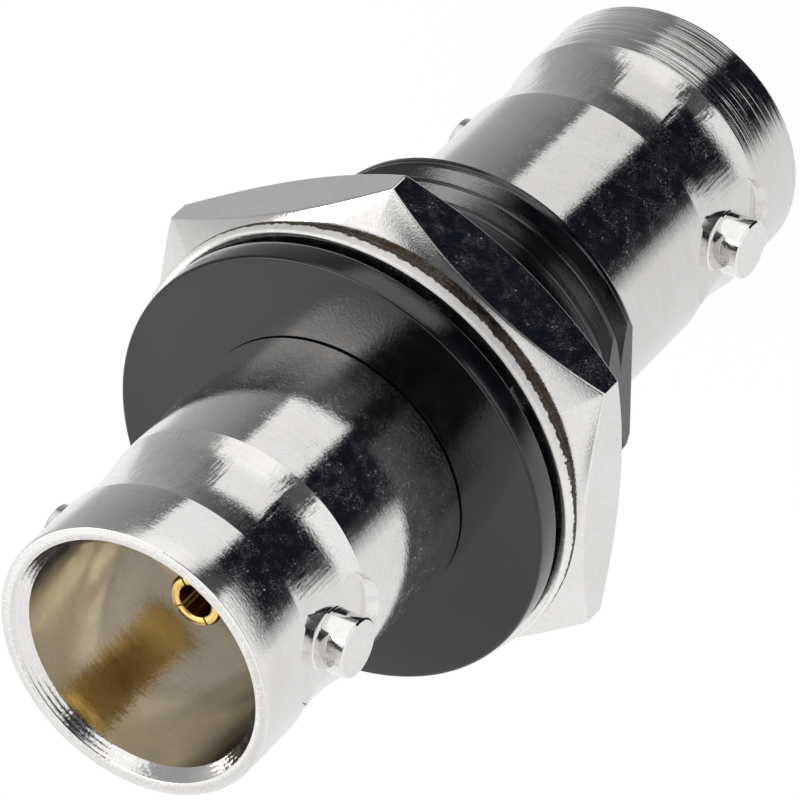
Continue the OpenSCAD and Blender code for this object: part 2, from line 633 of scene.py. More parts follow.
@dataclass(frozen=True)
class NickelPlate(Finish):
    """Bright nickel plating with orange peel, a thin film and clouds of dull grain."""

    roughness: float = 0.035
    peel: float = 1.0
    peel_density: float = 10.0
    peel_relief: float = 0.0028
    grain_density: float = 6.0
    blotch_density: float = 0.5
    cloud_density: float = 1.7
    haze: float = 0.17
    dust_density: float = 15.0
    spark_density: float = 9.0
    spark_strength: float = 1.6
    veil: float = 0.9
    film_density: float = 14.0
    film_roughness: float = 0.5
    film_index: float = 2.4
    film_tint: Colour = (0.94, 0.96, 1.0)

    def relief(self, graph: Graph, surface: Surface) -> bpy.types.NodeSocket:
        """Normal of the metal under the plating, which is left as it is."""
        return surface.normal

    def grain(self, graph: Graph, surface: Surface) -> bpy.types.NodeSocket:
        """Fine pattern of the worked metal, between 0 and 1."""
        return graph.noise(surface.place, self.grain_density / MM, 3.0, 0.6)

    def dullness(self, graph: Graph, surface: Surface,
                 clouds: bpy.types.NodeSocket) -> bpy.types.NodeSocket:
        """Roughness that dust and sparks of dull grain add.

        Args:
            graph: graph to add nodes to.
            surface: sockets that read the surface.
            clouds: how dense the grain lies.

        Returns:
            The added roughness.
        """
        dust = graph.remap(graph.noise(surface.place, self.dust_density / MM, 3.0, 0.7),
                           0.4, 0.68)
        sparks = graph.remap(graph.noise(surface.place, self.spark_density / MM, 2.0, 0.5),
                             0.66, 0.73)
        dull = graph.math("ADD", dust, graph.math("MULTIPLY", sparks, self.spark_strength))
        return graph.math("MULTIPLY", graph.math("MULTIPLY", dull, clouds), self.haze)

    def film(self, graph: Graph, surface: Surface, clouds: bpy.types.NodeSocket,
             shader: bpy.types.Node) -> None:
        """Lay the thin bluish film over the plating.

        Args:
            graph: graph to add nodes to.
            surface: sockets that read the surface.
            clouds: how dense the film lies.
            shader: shader that gets the film as its coat.
        """
        film = graph.remap(graph.noise(surface.place, self.film_density / MM, 4.0, 0.8),
                           0.44, 0.62)
        graph.feed(shader.inputs["Coat Weight"], graph.math(
            "MULTIPLY", graph.math("MULTIPLY", film, clouds), self.veil, clamp=True))
        shader.inputs["Coat Roughness"].default_value = self.film_roughness
        shader.inputs["Coat IOR"].default_value = self.film_index
        shader.inputs["Coat Tint"].default_value = (*self.film_tint, 1.0)

    def build(self) -> bpy.types.Material:
        """Make the material.

        Returns:
            The finished material.
        """
        material, graph, shader = self.start()
        surface = Surface.of(graph)
        blotch = graph.noise(surface.place, self.blotch_density / MM, 3.0, 0.6)
        mixed = graph.math("MULTIPLY_ADD", self.grain(graph, surface), 0.6,
                           graph.math("MULTIPLY", blotch, 0.4))
        graph.feed(shader.inputs["Base Color"], graph.blend(
            graph.remap(mixed, 0.36, 0.6), self.shade(0.94, 0.93, 0.91), self.shade()))
        clouds = graph.remap(graph.noise(surface.place, self.cloud_density / MM, 3.0, 0.65),
                             0.4, 0.62, 0.25, 1.0)
        gloss = graph.remap(mixed, 0.35, 0.65, self.roughness * 0.7, self.roughness * 1.4)
        graph.feed(shader.inputs["Roughness"],
                   graph.math("ADD", gloss, self.dullness(graph, surface, clouds)))
        self.film(graph, surface, clouds, shader)
        shader.inputs["Metallic"].default_value = 1.0
        cells = graph.noise(surface.place, self.peel_density / MM, 3.0, 0.6)
        graph.feed(shader.inputs["Normal"], graph.bump(
            cells, self.peel_relief * MM * self.peel, self.relief(graph, surface)))
        return material


@dataclass(frozen=True)
class TurnedNickel(NickelPlate):
    """Nickel over brass that was turned on a lathe.

    Fine rings run round the axis.  The hollow neck was ground along the axis,
    the spot faces are smooth, and the rear mouth band was turned coarsely.
    """

    streaks: float = 0.08
    ring_pitch: float = 0.05
    ring_relief: float = 0.0005
    neck_radius: float = 0.0
    neck_edge: float = 0.03
    neck_streaks: float = 0.34
    ground_across: float = 10.0
    ground_along: float = 0.3
    flat_height: float = 4.45
    coarse_below: float = 0.0
    coarse_edge: float = 0.05
    groove_around: float = 0.05
    groove_along: float = 4.0
    groove_relief: float = 0.042

    def grain(self, graph: Graph, surface: Surface) -> bpy.types.NodeSocket:
        """Fine rings round the axis, between 0 and 1."""
        return graph.noise(surface.stretched(graph, 0.4, 1.0 / self.ring_pitch), 1.0, 3.0, 0.6)

    def lean(self, graph: Graph, surface: Surface,
             sway: bpy.types.NodeSocket) -> bpy.types.NodeSocket:
        """Lean the normal sideways, round the axis.

        Args:
            graph: graph to add nodes to.
            surface: sockets that read the surface.
            sway: how far it leans, to either side.

        Returns:
            The leaning normal.
        """
        tangent = graph.vector("NORMALIZE", graph.vector(
            "CROSS_PRODUCT", (0.0, 0.0, 1.0), surface.normal))
        aside = graph.vector("SCALE", tangent, scale=sway)
        return graph.vector("NORMALIZE", graph.vector("ADD", surface.normal, aside))

    def relief(self, graph: Graph, surface: Surface) -> bpy.types.NodeSocket:
        """Normal that leans with the turning and grinding marks.

        Args:
            graph: graph to add nodes to.
            surface: sockets that read the surface.

        Returns:
            The normal.
        """
        rings = graph.noise(surface.stretched(graph, 0.5, 0.8 / self.ring_pitch), 1.0, 2.0, 0.6)
        lines = graph.combine(graph.math("MULTIPLY", surface.x, self.ground_across / MM),
                              graph.math("MULTIPLY", surface.y, self.ground_across / MM),
                              graph.math("MULTIPLY", surface.z, self.ground_along / MM))
        ground = graph.noise(lines, 1.0, 3.0, 0.75)
        wide = graph.math("ABSOLUTE", surface.x)
        not_flat = graph.math("SUBTRACT", 1.0, graph.math(
            "COMPARE", wide, self.flat_height * MM, 0.01 * MM))
        limit = self.neck_radius * MM
        neck = graph.remap(surface.radius, limit, limit + self.neck_edge * MM, 1.0, 0.0)
        turned_sway = graph.math("MULTIPLY", graph.math("SUBTRACT", rings, 0.5), self.streaks)
        ground_sway = graph.math("MULTIPLY", graph.math("SUBTRACT", ground, 0.5),
                                 graph.math("MULTIPLY", neck, self.neck_streaks))
        sway = graph.math("MULTIPLY", graph.math("ADD", turned_sway, ground_sway), not_flat)
        fine = graph.bump(graph.math("MULTIPLY", rings, not_flat), self.ring_relief * MM,
                          self.lean(graph, surface, sway))
        if self.coarse_below <= 0.0:
            return fine
        mask = graph.remap(surface.z, (self.coarse_below - self.coarse_edge) * MM,
                           self.coarse_below * MM, 1.0, 0.0)
        grooves = graph.noise(surface.stretched(graph, self.groove_around, self.groove_along),
                              1.0, 3.0, 0.7)
        return graph.bump(graph.math("MULTIPLY", grooves, mask), self.groove_relief * MM, fine)


@dataclass(frozen=True)
class MilledNickel(NickelPlate):
    """Nickel on a milled nut, pebbled on the cone between its flats and its face."""

    pebble_density: float = 17.0
    pebble_relief: float = 0.0036

    def relief(self, graph: Graph, surface: Surface) -> bpy.types.NodeSocket:
        """Normal of the smooth flats and of the pebbled cone.

        Args:
            graph: graph to add nodes to.
            surface: sockets that read the surface.

        Returns:
            The normal.
        """
        parts = graph.node("ShaderNodeSeparateXYZ")
        graph.feed(parts.inputs[0], surface.normal)
        lift = graph.math("ABSOLUTE", parts.outputs["Z"])
        cone = graph.math("MULTIPLY", graph.remap(lift, 0.3, 0.5),
                          graph.remap(lift, 0.93, 0.97, 1.0, 0.0))
        pebbles = graph.noise(surface.place, self.pebble_density / MM, 2.0, 0.6)
        return graph.bump(graph.math("MULTIPLY", pebbles, cone), self.pebble_relief * MM,
                          surface.normal)


@dataclass(frozen=True)
class StampedNickel(NickelPlate):
    """Nickel on stamped sheet with a dull rim.

    Below a ragged line the sheet is dark brown, its underside included: on the rim this is partly
    the torn edge of the stamping and partly painted shade, and on the underside it is painted shade
    against the nut.
    """

    # Dark brown: partly the torn edge's own colour, partly painted shade on the rim and the
    # underside against the nut.
    torn_and_shaded: Colour = (0.055, 0.038, 0.024)
    torn_and_shaded_below: float = 0.0
    ragged_density: float = 4.5
    ragged_height: float = 0.5
    rim_radius: float = 0.0
    rim_roughness: float = 0.5

    def build(self) -> bpy.types.Material:
        """Make the material.

        Returns:
            The finished material.
        """
        material = super().build()
        graph = Graph(material.node_tree, clear=False)
        shader = next(node for node in material.node_tree.nodes
                      if node.type == "BSDF_PRINCIPLED")
        surface = Surface.of(graph)
        # Mask of the dark brown below a ragged line: the torn edge, and painted shade on the
        # underside.
        ragged = graph.noise(surface.place, self.ragged_density / MM, 4.0, 0.8)
        edge = graph.math("MULTIPLY_ADD", graph.math("SUBTRACT", ragged, 0.5),
                          self.ragged_height * MM, self.torn_and_shaded_below * MM)
        torn_and_shaded = graph.math("GREATER_THAN", edge, surface.z)
        rim = graph.math("GREATER_THAN", surface.radius, self.rim_radius * MM)
        base = shader.inputs["Base Color"]
        graph.feed(base, graph.blend(torn_and_shaded, base.links[0].from_socket, (*self.torn_and_shaded, 1.0)))
        rough = shader.inputs["Roughness"]
        graph.feed(rough, graph.math("MULTIPLY_ADD", rim, self.rim_roughness,
                                     rough.links[0].from_socket))
        return material


@dataclass(frozen=True)
class GlossPlastic(Finish):
    """Moulded black plastic with orange peel over its gloss."""

    roughness: float = 0.035
    peel: float = 1.0
    peel_size: float = 0.13
    peel_relief: float = 0.0034
    broad_density: float = 0.7
    scuff_density: float = 5.0
    gloss_index: float = 1.6
    gloss_tint: Colour = (0.95, 0.96, 1.0)

    def build(self) -> bpy.types.Material:
        """Make the material.

        Returns:
            The finished material.
        """
        material, graph, shader = self.start()
        place = graph.node("ShaderNodeTexCoord").outputs["Object"]
        cells = graph.noise(place, 1.0 / (self.peel_size * MM), 4.0, 0.65)
        broad = graph.noise(place, self.broad_density / MM, 3.0)
        scuffs = graph.noise(place, self.scuff_density / MM, 5.0, 0.75)
        graph.feed(shader.inputs["Base Color"], graph.blend(
            graph.remap(broad, 0.35, 0.65), self.shade(0.75, 0.75, 0.75),
            self.shade(1.25, 1.25, 1.25)))
        mixed = graph.math("MULTIPLY_ADD", scuffs, 0.6, graph.math("MULTIPLY", broad, 0.4))
        graph.feed(shader.inputs["Roughness"], graph.remap(
            mixed, 0.38, 0.66, self.roughness * 0.8, self.roughness * 2.2))
        shader.inputs["IOR"].default_value = self.gloss_index
        shader.inputs["Specular Tint"].default_value = (*self.gloss_tint, 1.0)
        graph.feed(shader.inputs["Normal"],
                   graph.bump(cells, self.peel_relief * MM * self.peel))
        return material


@dataclass(frozen=True)
class GoldPlate(Finish):
    """Thin gold plating on a turned contact."""

    roughness: float = 0.13
    ring_density: float = 4.0
    ring_squash: float = 6.0
    ring_relief: float = 0.002
    tone_density: float = 1.2

    def build(self) -> bpy.types.Material:
        """Make the material.

        Returns:
            The finished material.
        """
        material, graph, shader = self.start()
        place = graph.node("ShaderNodeTexCoord").outputs["Object"]
        stretch = graph.node("ShaderNodeMapping")
        stretch.inputs["Scale"].default_value = (1.0, 1.0, self.ring_squash)
        graph.feed(stretch.inputs["Vector"], place)
        rings = graph.noise(stretch.outputs[0], self.ring_density / MM, 3.0, 0.6)
        tone = graph.noise(place, self.tone_density / MM, 2.0)
        graph.feed(shader.inputs["Base Color"], graph.blend(
            graph.remap(tone, 0.35, 0.65), self.shade(0.9, 0.86, 0.78), self.shade()))
        graph.feed(shader.inputs["Roughness"],
                   graph.remap(rings, 0.3, 0.7, self.roughness * 0.7, self.roughness * 1.4))
        shader.inputs["Metallic"].default_value = 1.0
        graph.feed(shader.inputs["Normal"], graph.bump(rings, self.ring_relief * MM))
        return material


@dataclass(frozen=True)
class InsulatorWhite(Finish):
    """Waxy white insulator with turning marks."""

    ring_density: float = 2.5
    ring_distortion: float = 0.6
    ring_relief: float = 0.003
    tone_density: float = 0.9

    def build(self) -> bpy.types.Material:
        """Make the material.

        Returns:
            The finished material.
        """
        material, graph, shader = self.start()
        place = graph.node("ShaderNodeTexCoord").outputs["Object"]
        rings = graph.node("ShaderNodeTexWave", wave_type="RINGS", rings_direction="Z")
        graph.feed(rings.inputs["Vector"], place)
        rings.inputs["Scale"].default_value = self.ring_density / MM
        rings.inputs["Distortion"].default_value = self.ring_distortion
        tone = graph.noise(place, self.tone_density / MM, 3.0)
        graph.feed(shader.inputs["Base Color"], graph.blend(
            graph.remap(tone, 0.3, 0.7), self.shade(0.94, 0.93, 0.90), self.shade()))
        graph.feed(shader.inputs["Roughness"], graph.remap(tone, 0.3, 0.7, 0.38, 0.5))
        graph.feed(shader.inputs["Normal"],
                   graph.bump(rings.outputs["Fac"], self.ring_relief * MM))
        return material


# --------------------------------------------------------------------------
# Geometry node trees
# --------------------------------------------------------------------------


class RuleTree:
    """A geometry node tree with named inputs, run once on a bare object."""

    def __init__(self, name: str) -> None:
        """Make the empty tree with its geometry output.

        Args:
            name: name of the tree.
        """
        self.tree = bpy.data.node_groups.new(name, "GeometryNodeTree")
        self.graph = Graph(self.tree)
        self.tree.interface.new_socket("Geometry", in_out="OUTPUT",
                                       socket_type="NodeSocketGeometry")
        self.inputs = self.graph.node("NodeGroupInput")
        self.output = self.graph.node("NodeGroupOutput")
        self.values: dict[str, object] = {}

    def input(self, name: str, kind: str, value: object) -> bpy.types.NodeSocket:
        """Declare a named input and its value.

        Args:
            name: name of the input.
            kind: socket type, such as NodeSocketFloat.
            value: value that the modifier sets.

        Returns:
            The input's socket inside the tree.
        """
        socket = self.tree.interface.new_socket(name, in_out="INPUT", socket_type=kind)
        self.values[socket.identifier] = value
        return self.inputs.outputs[name]

    def finish(self, geometry: bpy.types.NodeSocket, material: bpy.types.Material) -> None:
        """Realise the instances, set the material and join the output.

        Args:
            geometry: geometry that the rule made.
            material: material of every face.
        """
        graph = self.graph
        chosen = self.input("Finish", "NodeSocketMaterial", material)
        whole = graph.node("GeometryNodeRealizeInstances")
        dressed = graph.node("GeometryNodeSetMaterial")
        graph.feed(whole.inputs[0], geometry)
        graph.feed(dressed.inputs["Geometry"], whole.outputs[0])
        graph.feed(dressed.inputs["Material"], chosen)
        graph.feed(self.output.inputs[0], dressed.outputs[0])

    def run(self, name: str) -> bpy.types.Object:
        """Run the tree on an empty mesh and keep the plain result.

        Args:
            name: name of the object.

        Returns:
            The new object.
        """
        piece = link_object(name, bpy.data.meshes.new(name))
        modifier = piece.modifiers.new(name, "NODES")
        modifier.node_group = self.tree
        for identifier, value in self.values.items():
            modifier[identifier] = value
        return settle(piece)


@dataclass
class ThreadForm:
    """Sizes of a straight single-start right-hand screw thread."""

    root_radius: float
    crest_radius: float
    pitch: float
    low: float
    high: float
    crest_share: float = 0.12
    steps_per_turn: int = 120
    steps_per_pitch: int = 24

    def rod(self, name: str, material: bpy.types.Material) -> bpy.types.Object:
        """Make a solid threaded rod from the low to the high end.

        Args:
            name: name of the object.
            material: material of the thread.

        Returns:
            The closed rod.
        """
        turns = math.ceil((self.high - self.low) / self.pitch) + 2
        piece = self.strip(name, material, turns).run(name)
        mesh = bmesh.new()
        mesh.from_mesh(piece.data)
        bmesh.ops.remove_doubles(mesh, verts=mesh.verts, dist=1e-7)
        for height, up in ((self.low, -1.0), (self.high, 1.0)):
            bmesh.ops.bisect_plane(mesh, geom=mesh.verts[:] + mesh.edges[:] + mesh.faces[:],
                                   dist=1e-8, plane_co=(0.0, 0.0, height * MM),
                                   plane_no=(0.0, 0.0, up), clear_outer=True)
        rim = [edge for edge in mesh.edges if edge.is_boundary]
        bmesh.ops.holes_fill(mesh, edges=rim, sides=0)
        bmesh.ops.recalc_face_normals(mesh, faces=mesh.faces)
        mesh.to_mesh(piece.data)
        mesh.free()
        return piece

    def strip(self, name: str, material: bpy.types.Material, turns: int) -> RuleTree:
        """Build the tree that winds one thread form round the axis.

        Args:
            name: name of the tree.
            material: material of the thread.
            turns: number of turns.

        Returns:
            The tree, ready to run.
        """
        rule = RuleTree(name)
        graph = rule.graph
        turn_count = rule.input("Turns", "NodeSocketInt", turns)
        around = rule.input("Steps Per Turn", "NodeSocketInt", self.steps_per_turn)
        across = rule.input("Steps Per Pitch", "NodeSocketInt", self.steps_per_pitch)
        pitch = rule.input("Pitch", "NodeSocketFloat", self.pitch * MM)
        root = rule.input("Root Radius", "NodeSocketFloat", self.root_radius * MM)
        crest = rule.input("Crest Radius", "NodeSocketFloat", self.crest_radius * MM)
        start = rule.input("Start Height", "NodeSocketFloat", (self.low - self.pitch) * MM)
        share = rule.input("Crest Share", "NodeSocketFloat", self.crest_share)
        grid = graph.node("GeometryNodeMeshGrid")
        columns = graph.math("MULTIPLY_ADD", turn_count, around, 1.0)
        graph.feed(grid.inputs["Size X"], 1.0)
        graph.feed(grid.inputs["Size Y"], 1.0)
        graph.feed(grid.inputs["Vertices X"], columns)
        graph.feed(grid.inputs["Vertices Y"], graph.math("ADD", across, 1.0))
        place = graph.node("ShaderNodeSeparateXYZ")
        graph.feed(place.inputs[0], graph.node("GeometryNodeInputPosition").outputs[0])
        turned = graph.math("MULTIPLY", graph.math("ADD", place.outputs["X"], 0.5), turn_count)
        share_up = graph.math("ADD", place.outputs["Y"], 0.5)
        angle = graph.math("MULTIPLY", turned, 2.0 * math.pi)
        off_middle = graph.math("ABSOLUTE", graph.math("MULTIPLY_ADD", share_up, 2.0, -1.0))
        slope = graph.math("DIVIDE", graph.math("SUBTRACT", 1.0, off_middle),
                           graph.math("SUBTRACT", 1.0, share))
        rise = graph.math("SMOOTH_MIN", slope, 1.0, 0.1)
        radius = graph.math("MULTIPLY_ADD", rise, graph.math("SUBTRACT", crest, root), root)
        height = graph.math("MULTIPLY_ADD", graph.math("ADD", turned, share_up), pitch, start)
        spot = graph.combine(graph.math("MULTIPLY", radius, graph.math("COSINE", angle)),
                             graph.math("MULTIPLY", radius, graph.math("SINE", angle)), height)
        moved = graph.node("GeometryNodeSetPosition")
        graph.feed(moved.inputs["Geometry"], grid.outputs["Mesh"])
        graph.feed(moved.inputs["Position"], spot)
        merged = graph.node("GeometryNodeMergeByDistance")
        graph.feed(merged.inputs["Geometry"], moved.outputs[0])
        graph.feed(merged.inputs["Distance"], 1e-7)
        rule.finish(merged.outputs[0], material)
        return rule


# --------------------------------------------------------------------------
# Sub-assemblies
# --------------------------------------------------------------------------


@dataclass
class Places:
    """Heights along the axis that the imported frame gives, in millimetres."""

    total: float = 0.0
    sleeve_end: float = 0.0
    flange_top: float = 0.0
    flange_radius: float = 0.0
    rear_top: float = 0.0
    front_low: float = 0.0
    washer_low: float = 0.0
    washer_high: float = 0.0
    washer_radius: float = 0.0
    nut_low: float = 0.0
    nut_high: float = 0.0

    @classmethod
    def from_frame(cls) -> "Places":
        """Read the places from the frame's boxes.

        Returns:
            The filled record.
        """
        front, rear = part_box("front_body"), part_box("rear_body")
        bushing, washer, nut = (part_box(name) for name in
                                ("insulating_bushing", "lock_washer", "hex_nut"))
        return cls(total=front[1].z / MM, sleeve_end=bushing[0].z / MM,
                   flange_top=bushing[1].z / MM, flange_radius=bushing[1].y / MM,
                   rear_top=rear[1].z / MM, front_low=front[0].z / MM,
                   washer_low=washer[0].z / MM, washer_high=washer[1].z / MM,
                   washer_radius=washer[1].y / MM, nut_low=nut[0].z / MM,
                   nut_high=nut[1].z / MM)

    @property
    def washer_middle(self) -> float:
        """Height of the middle of the washer's sheet."""
        return (self.washer_low + self.washer_high) / 2.0


def rod_outline(radius: float, low: float, high: float) -> Outline:
    """Outline of a plain rod.

    Args:
        radius: its radius in millimetres.
        low: height of its lower end.
        high: height of its upper end.

    Returns:
        The closed outline.
    """
    shape = Outline().corner(0.0, low).corner(radius, low)
    return shape.corner(radius, high).corner(0.0, high)


def hand_over(piece: bpy.types.Object, body: Body, slot: Slot, *nodes: str) -> None:
    """Let a finished piece stand for its CAD nodes and ride on a body.

    Args:
        piece: the finished piece.
        body: body that it rides on.
        slot: material slot of the record; not used.
        *nodes: CAD nodes that it replaces.
    """
    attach(piece, body.value)
    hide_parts(*nodes)
    LOG.info("%s rides on %s, %d faces", piece.name, body.value, len(piece.data.polygons))


def dress(piece: bpy.types.Object, material: bpy.types.Material) -> bpy.types.Object:
    """Give a piece one material on all its faces.

    Args:
        piece: piece to dress.
        material: its material.

    Returns:
        The same piece.
    """
    piece.data.materials.clear()
    piece.data.materials.append(material)
    piece.data.polygons.foreach_set("material_index", [0] * len(piece.data.polygons))
    return piece


@dataclass
class JackShell:
    """Turned body of one jack: mouth, band, hollow neck, barrel and bore."""

    end: End
    places: Places
    barrel_radius: float = 4.825
    bore_radius: float = 4.05
    lip_radius: float = 4.38
    lead_in: float = 0.4
    lead_in_rings: int = 3
    ring_relief: float = 0.002
    bore_depth: float = 8.4
    band_length: float = 2.54
    waist_radius: float = 4.665
    shoulder_depth: float = 5.81
    neck_steps: int = 20
    lug_depth: float = 4.17
    lug_radius: float = 1.0
    spot_height: float = 4.45
    spot_radius: float = 2.15
    spot_rim_radius: float = 2.3
    window_radius: float = 2.6
    line_radius: float = 3.1
    spigot_radius: float = 3.6
    stub_radius: float = 4.2
    step_thickness: float = 0.5
    mouth_rounding: float = 0.06
    edge_rounding: float = 0.14
    groove_width: float = 0.07
    groove_depth: float = 0.14
    groove_rounding: float = 0.01
    window_rounding: float = 0.05
    floor_rounding: float = 0.08
    lip_rounding: float = 0.04
    spot_rounding: float = 0.05
    seat_wall: float = 0.1
    cutter_flare: float = 0.3
    cutter_rise: float = 0.7
    lining_margin: float = 0.01

    def neck(self) -> list[tuple[float, float]]:
        """Points of the hollow neck between its two edges.

        Returns:
            Radius and height of each inner point of the arc.
        """
        half = (self.shoulder_depth - self.band_length) / 2.0
        middle = (self.shoulder_depth + self.band_length) / 2.0
        sag = self.barrel_radius - self.waist_radius
        arc_radius = (half * half + sag * sag) / (2.0 * sag)
        reach = math.asin(half / arc_radius)
        points = []
        for step in range(1, self.neck_steps):
            angle = reach * (2.0 * step / self.neck_steps - 1.0)
            points.append((self.waist_radius + arc_radius * (1.0 - math.cos(angle)),
                           middle + arc_radius * math.sin(angle)))
        return points

    def entry(self) -> list[tuple[float, float]]:
        """Points of the lead-in cone with its turned rings, from the bore out.

        Returns:
            Radius and height of each point.
        """
        points = []
        per_ring = 4
        count = self.lead_in_rings * per_ring
        for step in range(1, count):
            share = 1.0 - step / count
            ripple = self.ring_relief * math.sin(2.0 * math.pi * step / per_ring)
            radius = self.lip_radius + (self.bore_radius - self.lip_radius) * share
            points.append((radius + ripple, self.lead_in * share))
        return points

    def undercut(self, shape: Outline, seat: float) -> None:
        """Add the small groove that the barrel has where it meets the bushing.

        Args:
            shape: outline to add to.
            seat: height of the bushing's face.
        """
        shape.corner(self.barrel_radius, seat - self.groove_width, self.groove_rounding)
        shape.corner(self.barrel_radius - self.groove_depth, seat - self.groove_width)
        shape.corner(self.barrel_radius - self.groove_depth, seat)

    def outline(self) -> Outline:
        """Outline of the jack with its mouth at height zero.

        Returns:
            The closed outline.
        """
        shape = Outline()
        shape.corner(self.barrel_radius, 0.0, self.mouth_rounding)
        shape.corner(self.barrel_radius, self.band_length, self.edge_rounding)
        shape.run(self.neck())
        shape.corner(self.barrel_radius, self.shoulder_depth, self.edge_rounding)
        places = self.places
        step_top = self.bore_depth + self.step_thickness
        if self.end is End.FRONT:
            seat = places.total - places.flange_top
            self.undercut(shape, seat)
            shape.corner(self.stub_radius, seat)
            shape.corner(self.stub_radius, places.total - places.front_low)
            shape.corner(self.spigot_radius, places.total - places.front_low)
            shape.corner(self.spigot_radius, step_top)
        else:
            self.undercut(shape, places.sleeve_end)
            shape.corner(self.spigot_radius, places.sleeve_end)
            shape.corner(self.spigot_radius, places.rear_top)
            shape.corner(self.line_radius, places.rear_top)
            shape.corner(self.line_radius, step_top)
        shape.corner(self.window_radius, step_top)
        shape.corner(self.window_radius, self.bore_depth, self.window_rounding)
        shape.corner(self.bore_radius, self.bore_depth, self.floor_rounding)
        shape.corner(self.bore_radius, self.lead_in)
        shape.run(self.entry())
        shape.corner(self.lip_radius, 0.0, self.lip_rounding)
        return shape

    def lug_cutter(self, name: str, side: Side) -> bpy.types.Object:
        """Cutter of one spot face and the lug hole in its middle.

        Args:
            name: name of the cutter.
            side: side of the axis that it cuts.

        Returns:
            The cutter, in place.
        """
        shape = Outline(arc_steps=3)
        seat = self.bore_radius + self.seat_wall
        shape.corner(0.0, seat).corner(self.lug_radius, seat)
        shape.corner(self.lug_radius, self.spot_height)
        shape.corner(self.spot_radius, self.spot_height, self.spot_rounding)
        shape.corner(self.spot_rim_radius, self.barrel_radius)
        outside = self.barrel_radius + self.cutter_rise
        shape.corner(self.spot_rim_radius + self.cutter_flare, outside)
        shape.corner(0.0, outside)
        cutter = revolve(name, shape, SMALL_TURN, along_x=True)
        depth = self.lug_depth
        height = self.places.total - depth if self.end is End.FRONT else depth
        turn = 180.0 if side is Side.LEFT else 0.0
        turned_by(cutter, turn)
        cutter.data.transform(Matrix.Translation((0.0, 0.0, height * MM)))
        return cutter

    def line_bore(self, shell: bpy.types.Object, lining: bpy.types.Material,
                  floor: bpy.types.Material) -> None:
        """Give the wall and the floor of the bore their own finishes.

        Args:
            shell: the turned shell.
            lining: finish of the wall.
            floor: finish of the floor.
        """
        shell.data.materials.append(lining)
        shell.data.materials.append(floor)
        limit = (self.bore_radius + self.lining_margin) * MM
        for face in shell.data.polygons:
            if math.hypot(face.center.x, face.center.y) < limit:
                face.material_index = 2 if abs(face.normal.z) > 0.5 else 1

    def build(self, material: bpy.types.Material, lining: bpy.types.Material,
              floor: bpy.types.Material) -> bpy.types.Object:
        """Build the shell, cut its spot faces and hand it over.

        Args:
            material: the shell's finish.
            lining: finish of the bore's wall.
            floor: finish of the bore's floor.

        Returns:
            The finished shell.
        """
        node = f"{self.end.value}_body"
        shape = self.outline()
        if self.end is End.FRONT:
            shape = shape.mirrored(self.places.total)
        shell = revolve(f"{self.end.value}_jack_shell", shape, FINE_TURN)
        for side in Side:
            combine(shell, self.lug_cutter("spot_cutter", side), Cut.AWAY)
        dress(smooth(shell), material)
        self.line_bore(shell, lining, floor)
        hand_over(shell, Body.CONNECTOR, Slot.NICKEL, node)
        return shell


@dataclass
class BayonetLug:
    """Round pin pressed through a jack's wall, which a plug's sleeve locks on."""

    end: End
    side: Side
    bevel: float = 0.06
    foot_height: float = 4.45
    foot_flare: float = 0.05
    inner_rounding: float = 0.03
    foot_rounding: float = 0.06
    tip_rounding: float = 0.02

    @property
    def node(self) -> str:
        """Name of the CAD node that the lug stands for."""
        return f"{self.end.value}_lug_{self.side.value}"

    def build(self, material: bpy.types.Material) -> bpy.types.Object:
        """Build the lug and hand it over.

        Args:
            material: the lug's finish.

        Returns:
            The finished lug.
        """
        low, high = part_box(self.node)
        middle = (low + high) / 2.0
        radius = (high.y - low.y) / 2.0 / MM
        inner = min(abs(low.x), abs(high.x)) / MM
        tip = max(abs(low.x), abs(high.x)) / MM
        shape = Outline()
        shape.corner(0.0, inner).corner(radius, inner, self.inner_rounding)
        shape.corner(radius, self.foot_height)
        shape.corner(radius + self.foot_flare, self.foot_height)
        shape.corner(radius, self.foot_height + self.foot_flare, self.foot_rounding)
        shape.corner(radius, tip - self.bevel, self.tip_rounding)
        shape.corner(radius - self.bevel, tip, self.tip_rounding)
        shape.corner(0.0, tip)
        lug = revolve(f"{self.node}_pin", shape, SMALL_TURN, along_x=True)
        turned_by(lug, 180.0 if self.side is Side.LEFT else 0.0)
        lug.data.transform(Matrix.Translation((0.0, 0.0, middle.z)))
        dress(smooth(lug), material)
        hand_over(lug, Body.CONNECTOR, Slot.NICKEL, self.node)
        return lug


